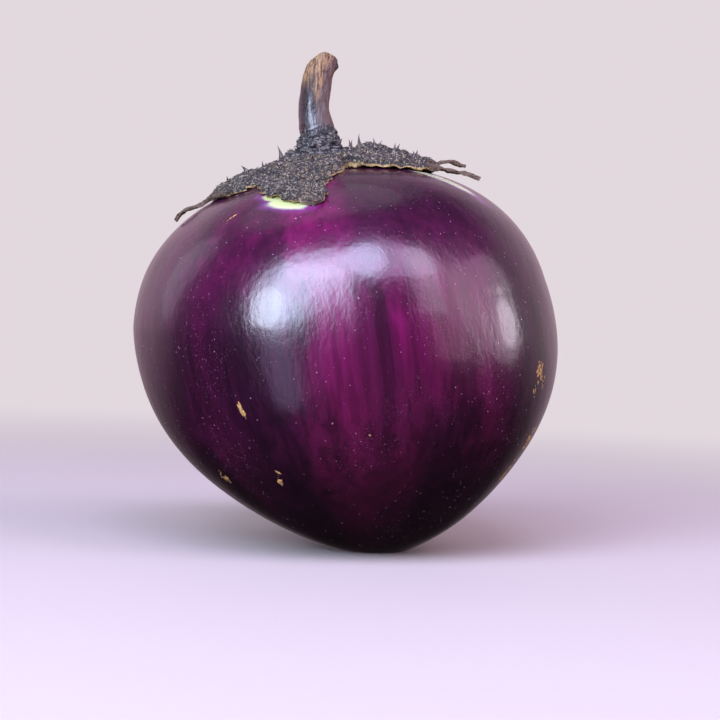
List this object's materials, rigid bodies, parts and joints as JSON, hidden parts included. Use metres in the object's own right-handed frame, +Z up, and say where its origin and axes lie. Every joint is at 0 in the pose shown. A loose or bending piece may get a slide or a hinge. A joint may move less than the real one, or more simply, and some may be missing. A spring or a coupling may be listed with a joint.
{
  "type": "eggplant",
  "caption": "Whole round purple eggplant with its prickly calyx and cut stem, standing on its blossom end; a vegetable to set out, store or cook",
  "frame": {"origin": "centre of the flat spot on the blossom end that the fruit rests on", "axes": "+Z up from the resting spot to the cut end of the stem, +X the side the blossom end leans away to, -Y the side where the broad sepal hangs over the shoulder"},
  "size_m": [0.115, 0.112, 0.1338],
  "materials": {
    "skin": "waxy, glossy, deep purple fruit skin",
    "calyx": "dry, felted, dark grey-brown sepals",
    "stem": "half-gloss dark brown woody stem, tan at the cut"
  },
  "bodies": {
    "root": {"fruit": "skin", "calyx": "calyx", "stem": "stem"}
  },
  "joints": []
}
